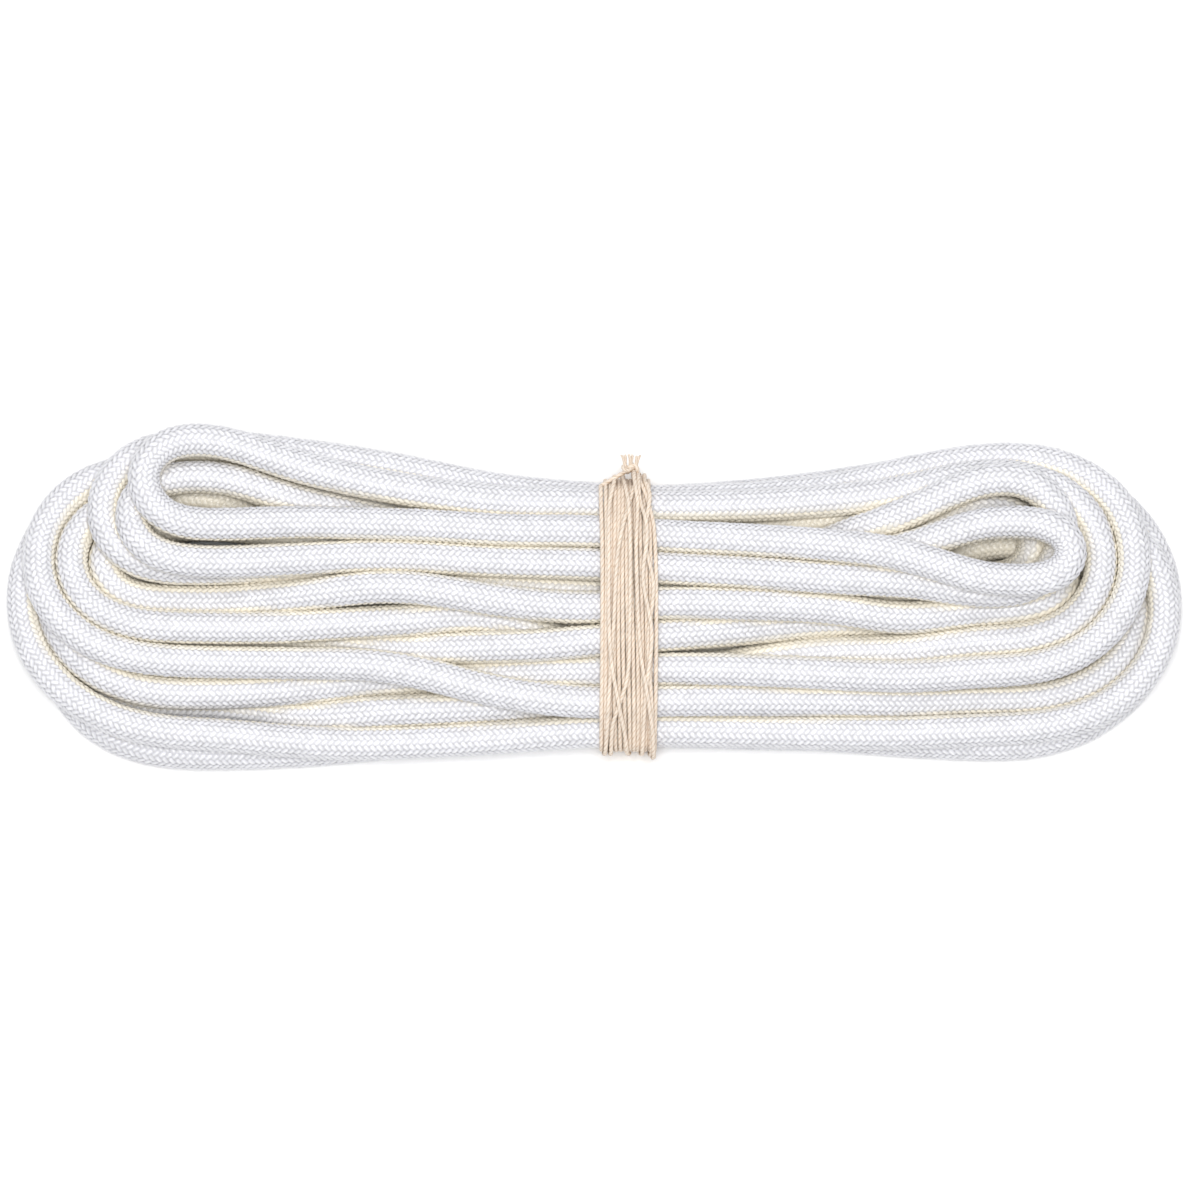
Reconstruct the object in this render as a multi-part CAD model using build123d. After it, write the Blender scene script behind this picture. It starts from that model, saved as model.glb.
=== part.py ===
"""Coiled dock line: a hank of double-braid rope, tied round its middle with cotton twine.

Millimetres, +Z up. The hank lies on its flat underside with its length along X. The origin is
the centre of the hank's footprint.
"""

import math
import os

from build123d import *

# Rope and twine
ROPE_D = 9.5
TWINE_D = 1.25

# Outer shape of the hank, seen from above
HANK_LENGTH = 334.0
HANK_WIDTH = 97.0
LEFT_END = -HANK_LENGTH / 2
RIGHT_END = HANK_LENGTH / 2
FAR_EDGE = HANK_WIDTH / 2
NEAR_EDGE = -HANK_WIDTH / 2

# The turns lie four deep under the crest, towards the far side, and one deep along the near edge
CREST_HEIGHT = 37.0
UNDERSIDE_ROUNDING = 5.0

# The tie: side by side turns of twine, two deep where they cross
TIE_X = 9.0
TIE_WIDTH = 16.5
TIE_THICKNESS = 2.2
WAIST_NEAR = -42.0
WAIST_FAR = 32.5
WAIST_NEAR_HEIGHT = 24.0
WAIST_FAR_HEIGHT = 32.0
WAIST_ROUNDING = 9.0

# Knot of the tie on the far shoulder, and the three cut ends that stand out of it
KNOT_X = 10.0
KNOT_Y = WAIST_FAR + TIE_THICKNESS
KNOT_Z = 23.0
KNOT_WIDTH = 5.6
KNOT_DEPTH = 2.8
KNOT_HEIGHT = 4.6
TAIL_LENGTH = 4.0
TAIL_BEND = 20.0
TAIL_SPREAD = (-20.0, 2.0, 24.0)

# Heat-sealed rope ends, tucked up underneath on either side of the tie
TIP_LENGTH = 14.0
TIP_CLEARANCE = 2.0
TIP_ROUNDING = 2.5
TIP_START = (36.0, 12.0)
TIP_END = (-22.0, -6.0)


def outline():
    """The hank from above: two lobes of unlike size and the waist between them."""
    points = [
        (LEFT_END, -2.0),
        (-153.0, 30.0),
        (-118.0, FAR_EDGE),
        (-60.0, 42.5),
        (TIE_X - TIE_WIDTH, WAIST_FAR + 1.0),
        (TIE_X + TIE_WIDTH, WAIST_FAR + 0.4),
        (66.0, 34.0),
        (114.0, 44.0),
        (151.0, 33.0),
        (RIGHT_END, 0.0),
        (152.0, -31.5),
        (107.0, -45.5),
        (TIE_X + TIE_WIDTH, WAIST_NEAR - 0.4),
        (TIE_X - TIE_WIDTH, WAIST_NEAR - 0.8),
        (-60.0, -45.5),
        (-112.0, NEAR_EDGE),
        (-152.0, -36.5),
    ]
    return make_face(Spline(points, periodic=True))


def cross_profile():
    """The hank from its end: flat underneath, low along the near edge, highest past the middle."""
    near_foot = (NEAR_EDGE + UNDERSIDE_ROUNDING, 0)
    far_foot = (FAR_EDGE - UNDERSIDE_ROUNDING, 0)
    top = [
        far_foot,
        (FAR_EDGE, 10.0),
        (FAR_EDGE - 6.0, 25.0),
        (FAR_EDGE - 18.0, 34.0),
        (14.0, CREST_HEIGHT),
        (-14.0, 32.5),
        (NEAR_EDGE + 17.0, 24.0),
        (NEAR_EDGE + 4.0, 13.0),
        (NEAR_EDGE, 5.0),
        near_foot,
    ]
    return make_face(Curve() + [Line(near_foot, far_foot), Spline(top)])


def long_profile():
    """The hank from its near side: flat underneath, with the end loops falling away."""
    left_foot = (LEFT_END + UNDERSIDE_ROUNDING, 0)
    right_foot = (RIGHT_END - UNDERSIDE_ROUNDING, 0)
    top = [
        right_foot,
        (RIGHT_END, 8.0),
        (RIGHT_END - 9.0, 23.0),
        (RIGHT_END - 34.0, 35.0),
        (RIGHT_END - 75.0, CREST_HEIGHT + 1.0),
        (0, CREST_HEIGHT + 2.0),
        (LEFT_END + 75.0, CREST_HEIGHT + 1.0),
        (LEFT_END + 34.0, 33.0),
        (LEFT_END + 9.0, 21.0),
        (LEFT_END, 8.0),
        left_foot,
    ]
    return make_face(Curve() + [Line(left_foot, right_foot), Spline(top)])


def waist_section(grow=0.0):
    """Cross-section of the rope inside the tie, grown all round by grow."""
    corners = [
        (WAIST_NEAR, TIE_THICKNESS),
        (WAIST_FAR, TIE_THICKNESS),
        (WAIST_FAR, WAIST_FAR_HEIGHT),
        (WAIST_NEAR, WAIST_NEAR_HEIGHT),
    ]
    section = make_face(Polyline(*corners, close=True))
    section = fillet(section.vertices(), WAIST_ROUNDING)
    if grow:
        section = offset(section, grow, kind=Kind.ARC)
    return section


def waist_prism(grow=0.0):
    """The waist section drawn out over the width of the tie."""
    side = Plane(origin=(TIE_X - TIE_WIDTH / 2, 0, 0), x_dir=(0, 1, 0), z_dir=(1, 0, 0))
    return extrude(side * waist_section(grow), TIE_WIDTH)


def tip_pocket(place):
    """The slot underneath the hank that one rope end lies in."""
    x, y = place
    length = TIP_LENGTH + TIP_CLEARANCE
    slot = Box(length, ROPE_D, ROPE_D, align=(Align.MIN, Align.CENTER, Align.MIN))
    return Pos(x, y, 0) * slot


def rope_tip(place, outward):
    """A rope end, round and melted smooth; outward is +1 where it points to +X and -1 to -X."""
    x, y = place
    tip = Rot(0, 90, 0) * Cylinder(
        ROPE_D / 2, TIP_LENGTH, align=(Align.CENTER, Align.CENTER, Align.MIN)
    )
    tip = fillet(tip.edges().sort_by(Axis.X)[-1], TIP_ROUNDING)
    if outward < 0:
        tip = Rot(0, 0, 180) * tip
        x += TIP_LENGTH + TIP_CLEARANCE
    return Pos(x, y, ROPE_D / 2) * tip


def rope_hank():
    """The rope's turns as one closed body, with the groove that the tie pulls into it."""
    body = extrude(outline(), 2 * CREST_HEIGHT, dir=(0, 0, 1))
    body &= extrude(Plane.YZ * cross_profile(), HANK_LENGTH, both=True)
    body &= extrude(Plane.XZ * long_profile(), HANK_WIDTH, both=True)
    groove = Pos(TIE_X, 0, 0) * Box(TIE_WIDTH, 2 * HANK_WIDTH, 4 * CREST_HEIGHT)
    body = body - groove + waist_prism()
    return body - tip_pocket(TIP_START) - tip_pocket(TIP_END)


def tie_band():
    """The turns of twine round the waist as one closed ring."""
    return waist_prism(TIE_THICKNESS) - waist_prism()


def tie_knot():
    """The knot against the far side of the tie."""
    body = Pos(KNOT_X, KNOT_Y, KNOT_Z) * Box(
        KNOT_WIDTH, KNOT_DEPTH, KNOT_HEIGHT, align=(Align.CENTER, Align.MIN, Align.CENTER)
    )
    outer = body.faces().sort_by(Axis.Y)[-1]
    return fillet(outer.edges(), KNOT_DEPTH * 0.45)


def tie_tail(spread):
    """One cut end of the twine: two runs joined by a tangent arc, out of the knot's outer face."""
    start = Vector(KNOT_X + KNOT_WIDTH * spread / 80, KNOT_Y + KNOT_DEPTH, KNOT_Z)
    first = Vector(0, 1, 0)
    second = first.rotate(Axis.X, TAIL_BEND).rotate(Axis.Z, -spread)
    middle = start + first * TAIL_LENGTH / 2
    end = middle + second * TAIL_LENGTH / 2
    turn = math.radians(first.get_angle(second))
    radius = 0.45 * (TAIL_LENGTH / 2) / math.tan(turn / 2)
    path = FilletPolyline(start, middle, end, radius=[radius])
    section = Plane(origin=start, z_dir=first) * Circle(TWINE_D / 2)
    tube = sweep(section, path=path)
    ideal = math.pi * TWINE_D**2 / 4 * path.length
    print(f"tail: radius {radius:.1f}, length {path.length:.2f}, volume {tube.volume:.3f} of {ideal:.3f}")
    return tube


def build():
    parts = {
        "rope_hank": rope_hank(),
        "rope_tip_start": rope_tip(TIP_START, 1),
        "rope_tip_end": rope_tip(TIP_END, -1),
        "tie_band": tie_band(),
        "tie_knot": tie_knot(),
    }
    for number, spread in enumerate(TAIL_SPREAD, 1):
        parts[f"tie_tail_{number}"] = tie_tail(spread)
    return parts


os.makedirs("parts", exist_ok=True)
for name, shape in build().items():
    export_step(shape, f"parts/{name}.step")
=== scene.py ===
"""Coiled dock line: a 9.5 mm braided rope in eleven long turns, tied round its middle with thin twine.

Frame: X along the hank, Y away from the camera, Z up, origin under the middle of the hank, metres.
The rope's route is worked out in rope diameters and then multiplied by D.
"""

import math

import bpy
import numpy as np
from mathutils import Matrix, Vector


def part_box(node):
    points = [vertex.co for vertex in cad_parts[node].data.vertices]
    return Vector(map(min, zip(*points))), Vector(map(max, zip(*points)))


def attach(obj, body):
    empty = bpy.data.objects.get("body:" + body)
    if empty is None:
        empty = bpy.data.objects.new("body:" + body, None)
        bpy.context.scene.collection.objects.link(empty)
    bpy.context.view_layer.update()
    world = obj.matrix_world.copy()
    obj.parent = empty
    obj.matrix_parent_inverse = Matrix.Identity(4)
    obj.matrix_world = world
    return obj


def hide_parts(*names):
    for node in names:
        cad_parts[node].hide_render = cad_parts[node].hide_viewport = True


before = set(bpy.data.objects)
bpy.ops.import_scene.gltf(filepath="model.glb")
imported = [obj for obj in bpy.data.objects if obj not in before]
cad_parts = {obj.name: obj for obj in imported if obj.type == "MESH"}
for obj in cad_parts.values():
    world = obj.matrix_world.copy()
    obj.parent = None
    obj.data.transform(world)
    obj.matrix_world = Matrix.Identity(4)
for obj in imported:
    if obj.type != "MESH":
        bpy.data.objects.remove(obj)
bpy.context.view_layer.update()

D = 0.0095  # rope diameter
TWINE = 0.00125  # twine diameter
TIE_X = 0.009  # middle of the tie
UNDER_TWINE = 0.0065  # how far to each side of its middle the tie hides the rope
SEED = 7

# ---------------------------------------------------------------- camera

ELEVATION = 80
LENS = 200
SENSOR = 36
VIEW_WIDTH = 0.3403
AIM = Vector((0.0014, 0.0, 0.014))

camera = bpy.data.objects.new("camera", bpy.data.cameras.new("camera"))
bpy.context.scene.collection.objects.link(camera)
camera.data.lens = LENS
camera.data.sensor_width = SENSOR
tilt = math.radians(ELEVATION)
back = Vector((0, -math.cos(tilt), math.sin(tilt)))
camera.location = AIM + back * (VIEW_WIDTH * LENS / SENSOR)
camera.rotation_mode = "QUATERNION"
camera.rotation_quaternion = (-back).to_track_quat("-Z", "Y")
camera.data.clip_start = 0.05
camera.data.clip_end = 20
bpy.context.scene.camera = camera

# ---------------------------------------------------------------- the rope's route, in diameters

# Each run crosses the STATIONS along the hank. Its first numbers say how far across the hank it lies at
# each of them, and its second ones how high it starts at each of LEVELS_AT.
STATIONS = np.array([-11.8, -8.8, -6.0, -2.8, -0.4, 2.2, 6.7, 9.2, 12.0])
LEVELS_AT = np.array([-11.8, -6.0, 0.9, 6.7, 12.0])
RUNS = {
    "near_1": ((1.83, 1.95, 1.91, 1.91, 1.93, 1.70, 1.28, 0.96, 0.20), (2.9, 2.7, 2.5, 2.9, 3.0)),
    "near_2": ((0.80, 1.00, 1.20, 1.15, 1.16, 1.07, 0.85, 0.65, 0.15), (2.5, 2.2, 2.1, 2.2, 2.0)),
    "near_3": ((0.97, 1.05, 1.03, 0.62, 0.35, 0.30, 0.30, 0.35, 0.60), (2.3, 2.0, 1.4, 1.3, 1.3)),
    "near_4": ((0.05, 0.30, 0.45, -0.05, -0.20, 0.02, -0.09, -0.40, 0.04), (1.5, 2.6, 2.3, 2.3, 2.0)),
    "near_5": ((-0.78, -0.76, -0.56, -0.15, -0.85, -1.80, -1.46, -1.47, -1.22), (1.9, 2.0, 1.4, 2.0, 2.1)),
    "near_6": ((-0.95, -0.95, -1.33, -1.27, -1.20, -0.90, -0.45, -0.45, -0.65), (1.3, 1.7, 2.1, 1.5, 1.1)),
    "near_7": ((-2.92, -2.83, -2.50, -2.33, -2.24, -2.38, -2.49, -2.50, -2.30), (1.35, 1.3, 2.1, 2.1, 1.9)),
    "near_8": ((-2.04, -2.05, -2.18, -2.95, -3.25, -3.18, -3.25, -3.25, -3.07), (1.5, 2.1, 2.1, 1.9, 1.4)),
    "near_9": ((-3.00, -3.45, -3.50, -3.20, -2.80, -2.70, -2.60, -2.40, -2.20), (0.5, 2.3, 1.4, 0.5, 0.5)),
    "near_10": ((-3.99, -4.08, -3.96, -3.85, -3.70, -3.60, -3.65, -3.72, -3.70), (1.35, 0.9, 1.3, 1.3, 1.35)),
    "near_11": ((-4.51, -4.42, -4.20, -3.99, -3.87, -3.84, -3.93, -4.11, -4.24), (0.5, 0.5, 0.5, 0.5, 0.5)),
    "far_outer": ((4.60, 4.30, 3.83, 3.16, 2.95, 2.85, 3.05, 3.60, 3.95), (1.7, 2.0, 1.4, 1.3, 1.45)),
    "far_upper": ((4.43, 3.59, 2.92, 2.40, 2.40, 2.36, 2.50, 2.70, 3.50), (3.05, 2.9, 2.2, 2.1, 2.2)),
    "far_loop": ((3.40, 2.56, 2.05, 1.60, 1.20, 1.00, 1.05, 1.25, 2.05), (2.7, 1.8, 1.35, 1.9, 2.9)),
    "far_last": ((-0.63, -0.63, -0.63, -0.63, -0.63, -0.45, 1.70, 2.70, 3.62), (0.5, 0.5, 0.5, 1.9, 3.0)),
    "far_a": ((2.35, 1.80, 1.10, 0.50, 0.30, 0.30, 0.90, 1.80, 2.70), (1.9, 2.0, 0.5, 0.8, 2.1)),
    "far_b": ((1.30, 0.50, -0.50, -1.30, -1.70, -1.60, -0.40, 1.00, 2.30), (1.3, 0.9, 0.5, 0.8, 1.35)),
    "far_c": ((3.60, 2.40, 1.00, -0.20, -0.75, -0.70, 0.30, 1.30, 2.25), (1.4, 1.2, 1.35, 0.7, 0.5)),
    "far_d": ((3.25, 2.90, 2.50, 2.20, 2.15, 2.20, 2.60, 2.95, 3.22), (0.5, 0.5, 0.5, 0.5, 0.5)),
    "far_e": ((3.70, 3.20, 2.70, 2.20, 1.95, 1.90, 2.20, 2.75, 3.25), (1.35, 1.35, 1.35, 1.35, 1.35)),
    "far_f": ((0.30, -0.50, -1.40, -2.50, -2.90, -2.80, -1.60, -0.20, 1.25), (0.5, 0.5, 0.5, 0.5, 0.5)),
    "far_g": ((4.20, 3.90, 3.50, 3.15, 3.05, 3.00, 3.40, 3.80, 4.20), (0.5, 0.5, 0.5, 0.5, 0.5)),
    "far_first": ((2.30, 1.70, 1.20, 1.20, 1.26, 1.26, 1.26, 1.26, 1.26), (0.5, 0.5, 0.5, 0.5, 0.5)),
}
HIDDEN = {"far_a", "far_b", "far_c", "far_d", "far_e", "far_f", "far_g", "far_first"}
# where the turn at each end of a near run reaches
LEFT_END = {"near_11": -16.4, "near_10": -17.0, "near_9": -15.4, "near_7": -16.1,
            "near_8": -16.4, "near_6": -15.7, "near_4": -15.1, "near_5": -15.75,
            "near_2": -14.2, "near_3": -14.5, "near_1": -13.63}
RIGHT_END = {"near_1": 14.28, "near_2": 13.9, "near_3": 13.4, "near_4": 14.2,
             "near_5": 15.2, "near_6": 14.9, "near_7": 16.05, "near_8": 16.6,
             "near_9": 16.0, "near_10": 17.0, "near_11": 16.9}
# the order in which the rope runs through them, each near run followed by a far one
LAID = [("near_11", "far_g"), ("near_10", "far_e"), ("near_8", "far_d"), ("near_7", "far_outer"),
        ("near_3", "far_a"), ("near_4", "far_b"), ("near_6", "far_f"), ("near_9", "far_c"),
        ("near_5", "far_upper"), ("near_1", "far_loop"), ("near_2", "far_last")]
FIRST_X = 5.26  # where the rope starts and ends, hidden under the hank
LAST_X = -2.1
RUN_STEP = 0.5  # spacing of the points as laid
STEP = 0.4  # spacing of the points that settle
BIGHT_POINTS = 42
FIRM, LOOSE = 0.07, 0.012  # how strongly the runs that show and the hidden ones keep their places


def through(values, stations, x):
    """A smooth curve through values at stations, at x."""
    at = np.clip(x, stations[0], stations[-1])
    i = np.clip(np.searchsorted(stations, at) - 1, 0, len(stations) - 2)
    v = np.asarray(values)
    slope = np.zeros(len(v))
    slope[1:-1] = (v[2:] - v[:-2]) / (stations[2:] - stations[:-2])
    h = stations[i + 1] - stations[i]
    u = (at - stations[i]) / h
    return ((1 + 2 * u) * (1 - u) ** 2 * v[i] + u * (1 - u) ** 2 * h * slope[i]
            + u * u * (3 - 2 * u) * v[i + 1] + u * u * (u - 1) * h * slope[i + 1])


def run(name, x):
    """The points of one run at x, each with how strongly it keeps its place."""
    across, level = RUNS[name]
    firm = LOOSE if name in HIDDEN else FIRM
    return np.column_stack([x, through(across, STATIONS, x), through(level, LEVELS_AT, x),
                            np.full(len(x), firm)])


def bight(before, after, x_from, x_end):
    """The turn at an end of the hank where one run goes round into the next, reaching x_end."""
    a, b = run(before, np.array([x_from]))[0], run(after, np.array([x_from]))[0]
    t = np.linspace(0, np.pi, BIGHT_POINTS)[1:-1]
    roundness = min(0.9, 0.55 * abs(b[1] - a[1]) / abs(x_end - x_from))
    x = x_from + (x_end - x_from) * np.sin(t) ** roundness
    mix = (1 - np.cos(t)) / 2
    rest = a[1:] + (b[1:] - a[1:]) * mix[:, None]
    return np.column_stack([x, rest])


def route():
    """The whole rope as laid, from its first hidden end to its last."""
    left, right = STATIONS[0], STATIONS[-1]
    parts = [run("far_first", np.arange(FIRST_X, left, -RUN_STEP))]
    far = "far_first"
    for near, next_far in LAID:
        parts.append(bight(far, near, left, LEFT_END[near]))
        parts.append(run(near, np.arange(left, right + 0.01, RUN_STEP)))
        far = next_far
        parts.append(bight(near, far, right, RIGHT_END[near]))
        stop = LAST_X if far == "far_last" else left
        parts.append(run(far, np.arange(right, stop - 0.01, -RUN_STEP)))
    return np.vstack(parts)


def evenly(p, step):
    """The same line with its points about step apart."""
    s = np.concatenate([[0], np.cumsum(np.linalg.norm(np.diff(p[:, :3], axis=0), axis=1))])
    at = np.linspace(0, s[-1], int(round(s[-1] / step)) + 1)
    return np.column_stack([np.interp(at, s, p[:, k]) for k in range(p.shape[1])])


# the space inside the tie
WAIST_NEAR, WAIST_FAR = -4.26, 3.42
WAIST_NEAR_TOP, WAIST_FAR_TOP = 2.53, 3.37
WAIST_ROUND = 0.45
UNDER_TIE = 0.23  # how far the twine below the rope lifts it
TIE_REACH = 0.9  # how far to each side of its middle the tie holds the rope tight
WIDENS, WIDENS_ON = 0.02, 0.035  # how the space widens beyond that, by the distance and by its square
WIDENS_UP = 1.2  # how much more it does so upwards
# the hank's rounded ends: where they begin, how long they are and half their width on the left and right
END_FROM, END_LONG = 12.2, 4.83
END_HALF_LEFT, END_HALF_RIGHT = 4.5, 4.25


def waist_top(y):
    """How high the rope's axis can be inside the tie at y."""
    slope = (WAIST_FAR_TOP - WAIST_NEAR_TOP) * (y - WAIST_NEAR) / (WAIST_FAR - WAIST_NEAR)
    return WAIST_NEAR_TOP + slope - 0.5


def hold(p):
    """Keeps the rope's axis inside the tie at the waist and inside the hank's outline at its ends."""
    away = np.maximum(np.abs(p[:, 0] - TIE_X / D) - TIE_REACH, 0)
    slack = WIDENS_ON * away ** 2 + WIDENS * away
    low, high = WAIST_NEAR + 0.5 - slack, WAIST_FAR - 0.5 + slack
    y = np.clip(p[:, 1], low, high)
    z = np.minimum(p[:, 2], waist_top(y) + WIDENS_UP * slack)
    for side, edge in ((-1, low), (1, high)):
        centre_y = edge - side * WAIST_ROUND
        centre_z = waist_top(centre_y) + WIDENS_UP * slack - WAIST_ROUND
        dy, dz = y - centre_y, z - centre_z
        far = np.hypot(dy, dz) + 1e-9
        corner = (dy * side > 0) & (dz > 0) & (far > WAIST_ROUND)
        y = np.where(corner, centre_y + dy / far * WAIST_ROUND, y)
        z = np.where(corner, centre_z + dz / far * WAIST_ROUND, z)
    beyond = np.maximum(np.abs(p[:, 0]) - END_FROM, 0)
    half = np.where(p[:, 0] > 0, END_HALF_RIGHT, END_HALF_LEFT)
    inside = 1 / np.maximum(np.hypot(beyond / END_LONG, y / half), 1)
    p[:, 0] = np.sign(p[:, 0]) * (np.abs(p[:, 0]) - beyond * (1 - inside))
    p[:, 1] = y * inside
    floor = 0.5 + UNDER_TIE * np.exp(-((p[:, 0] - TIE_X / D) / 1.5) ** 4)
    p[:, 2] = np.maximum(z, floor)


def gaussian(sigma):
    """Weights of a smoothing this wide."""
    m = int(np.ceil(2.5 * sigma / STEP))
    w = np.exp(-0.5 * (np.arange(-m, m + 1) * STEP / sigma) ** 2)
    return w / w.sum()


def blur(v, weights):
    """Values smoothed along the line, which is carried on straight past both ends."""
    m = len(weights) // 2
    longer = np.concatenate([2 * v[0] - v[m:0:-1], v, 2 * v[-1] - v[-2:-m - 2:-1]])
    return np.convolve(longer, weights, "valid")


def blur_points(p, weights):
    return np.column_stack([blur(p[:, k], weights) for k in range(3)])


NEAR_SQUARE = 1.96  # points whose squared distance is below this can come to touch
PAIRS_EVERY = 10  # rounds between looking for them
TOUCH = 0.97  # turns nearer than this push each other off: the rope gives a little
ENDS_HELD = 6  # points at each end of the rope that stay where they were laid
SINK, SINK_LAST = 0.03, 0.01  # how far the turns sink in a round, and in the last rounds
LAST_ROUNDS_FROM = 0.85  # the part of the rounds after which the last ones begin
SMOOTHED = 0.25  # how strongly each smoothing acts in a round
TIGHTENINGS = 4  # times in a round that the rope straightens and its turns push each other off
SLIDES, STRAIGHTENS = 0.3, 0.06  # how strongly points even out along the rope and bends straighten
PUSH, PUSH_EASED = 0.45, 0.15  # how strongly turns that touch push each other off
PUSH_UP = 1.2  # how much more strongly they do so upwards
CROWDED = 0.4  # how much less a point moves for each other that it touches
SAME_TURN = 2.2  # points nearer to each other along the rope than this are on the same turn
WIDE, NARROW, FAIR, FINAL = 2.2, 0.6, 0.9, 0.45  # widths of the smoothing
EASE_ROUNDS = 40


def close_pairs(p):
    """Pairs of points of different turns that are near each other."""
    skip = int(SAME_TURN / STEP)
    square = (p ** 2).sum(1)
    first, second = [], []
    for c in range(0, len(p), 256):
        apart = square[c:c + 256, None] + square[None] - 2 * p[c:c + 256] @ p.T
        a, b = np.nonzero(apart < NEAR_SQUARE)
        keep = b - a - c > skip
        first.append(a[keep] + c)
        second.append(b[keep])
    return np.concatenate(first), np.concatenate(second)


def push_off(p, i, j, strength):
    """How far the second point of each pair is pushed from the first, and which pairs touch."""
    d = p[j] - p[i]
    far = np.linalg.norm(d, axis=1) + 1e-9
    over = np.maximum(TOUCH - far, 0)
    return d / far[:, None] * (strength * over)[:, None], over > 0


def settle(laid, rounds):
    """The laid turns sink under their weight, stay a diameter apart, resist bends and keep their places."""
    p = laid[:, :3].copy()
    target, firm = laid[:, :3], laid[:, 3:]
    n = len(p)
    wide, narrow = gaussian(WIDE), gaussian(NARROW)
    for r in range(rounds):
        if r % PAIRS_EVERY == 0:
            i, j = close_pairs(p)
        p[:, 2] -= SINK_LAST if r > LAST_ROUNDS_FROM * rounds else SINK
        p[:, :2] += firm * (target[:, :2] - p[:, :2])
        off = p - target
        soft, fine = blur_points(off, wide), blur_points(off, narrow)
        p = target + off + SMOOTHED * (soft - off) + SMOOTHED * (fine - off)
        p[:, 2] += SMOOTHED * (blur(p[:, 2], wide) - p[:, 2])
        for _ in range(TIGHTENINGS):
            ahead = p[2:] - p[:-2]
            ahead /= np.linalg.norm(ahead, axis=1)[:, None] + 1e-9
            bend = (p[2:] + p[:-2]) / 2 - p[1:-1]
            slide = (bend * ahead).sum(1)[:, None] * ahead
            p[1:-1] += SLIDES * slide + STRAIGHTENS * (bend - slide)
            push, hit = push_off(p, i, j, PUSH)
            push[:, 2] *= PUSH_UP
            met = np.bincount(i[hit], minlength=n) + np.bincount(j[hit], minlength=n)
            share = 1 / np.maximum(1, CROWDED * met)
            for k in range(3):
                p[:, k] += (np.bincount(j, push[:, k], n) - np.bincount(i, push[:, k], n)) * share
            hold(p)
            p[:ENDS_HELD], p[-ENDS_HELD:] = target[:ENDS_HELD], target[-ENDS_HELD:]
    return ease(p, target)


def ease(p, target):
    """Smooths the settled turns while they still push each other off."""
    n = len(p)
    fair = gaussian(FAIR)
    for r in range(EASE_ROUNDS):
        if r % PAIRS_EVERY == 0:
            i, j = close_pairs(p)
        off = p - target
        p = target + 0.5 * off + 0.5 * blur_points(off, fair)
        push, _ = push_off(p, i, j, PUSH_EASED)
        for k in range(3):
            p[:, k] += np.bincount(j, push[:, k], n) - np.bincount(i, push[:, k], n)
        p[:, 2] = np.maximum(p[:, 2], 0.5)
        p[:ENDS_HELD], p[-ENDS_HELD:] = target[:ENDS_HELD], target[-ENDS_HELD:]
    p = blur_points(evenly(p, STEP), gaussian(FINAL))
    p[:, 2] = np.maximum(p[:, 2], 0.5)
    return p


# ---------------------------------------------------------------- lines and meshes


def read_spline(points, name):
    """Points along one smooth NURBS spline that has these control points, in metres."""
    curve = bpy.data.curves.new(name, "CURVE")
    curve.dimensions = "3D"
    curve.resolution_u = 4
    spline = curve.splines.new("NURBS")
    spline.points.add(len(points) - 1)
    for point, place in zip(spline.points, points):
        point.co = (*place, 1)
    spline.order_u = 3
    spline.use_endpoint_u = True
    holder = bpy.data.objects.new(name, curve)
    bpy.context.scene.collection.objects.link(holder)
    bpy.context.view_layer.update()
    mesh = bpy.data.meshes.new_from_object(holder)
    line = np.zeros(len(mesh.vertices) * 3)
    mesh.vertices.foreach_get("co", line)
    bpy.data.objects.remove(holder)
    bpy.data.curves.remove(curve)
    bpy.data.meshes.remove(mesh)
    return line.reshape(-1, 3)


class Line:
    """A smooth line with a frame that turns with it and never twists, read at any distance along it."""

    def __init__(self, points, step):
        self.points = evenly(points, step)
        p = self.points
        self.s = np.concatenate([[0], np.cumsum(np.linalg.norm(np.diff(p, axis=0), axis=1))])
        self.length = self.s[-1]
        ahead = np.gradient(p, axis=0)
        ahead = ahead / np.linalg.norm(ahead, axis=1)[:, None]
        side = np.zeros_like(p)
        v = np.cross(ahead[0], (0, 0, 1.0))
        if np.linalg.norm(v) < 0.1:
            v = np.cross(ahead[0], (0, 1.0, 0))
        for i, t in enumerate(ahead):
            v = v - t * (v @ t)
            v = v / np.linalg.norm(v)
            side[i] = v
        self.side = side
        self.up = np.cross(ahead, side)

    def at(self, s, values):
        """Values of the line's points, read at distance s."""
        return np.column_stack([np.interp(s, self.s, values[:, k]) for k in range(3)])

    def place(self, s, angle, radius):
        """Points at distance s along the line, at angle round it and radius from it."""
        out = self.at(s, self.side) * np.cos(angle)[:, None] + self.at(s, self.up) * np.sin(angle)[:, None]
        out /= np.linalg.norm(out, axis=1)[:, None]
        return self.at(s, self.points) + out * radius[:, None]


def make_mesh(name, verts, faces):
    """A smooth mesh from arrays: faces is a list of arrays, with one row of vertex numbers for each face."""
    mesh = bpy.data.meshes.new(name)
    mesh.vertices.add(len(verts))
    mesh.vertices.foreach_set("co", np.asarray(verts, np.float32).ravel())
    corners = np.concatenate([f.ravel() for f in faces]).astype(np.int32)
    sizes = np.concatenate([np.full(len(f), f.shape[1]) for f in faces]).astype(np.int32)
    starts = np.concatenate([[0], np.cumsum(sizes)[:-1]]).astype(np.int32)
    mesh.loops.add(len(corners))
    mesh.loops.foreach_set("vertex_index", corners)
    mesh.polygons.add(len(sizes))
    mesh.polygons.foreach_set("loop_start", starts)
    mesh.polygons.foreach_set("loop_total", sizes)
    mesh.polygons.foreach_set("use_smooth", np.full(len(sizes), True))
    mesh.update(calc_edges=True)
    obj = bpy.data.objects.new(name, mesh)
    bpy.context.scene.collection.objects.link(obj)
    return obj, corners


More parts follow.
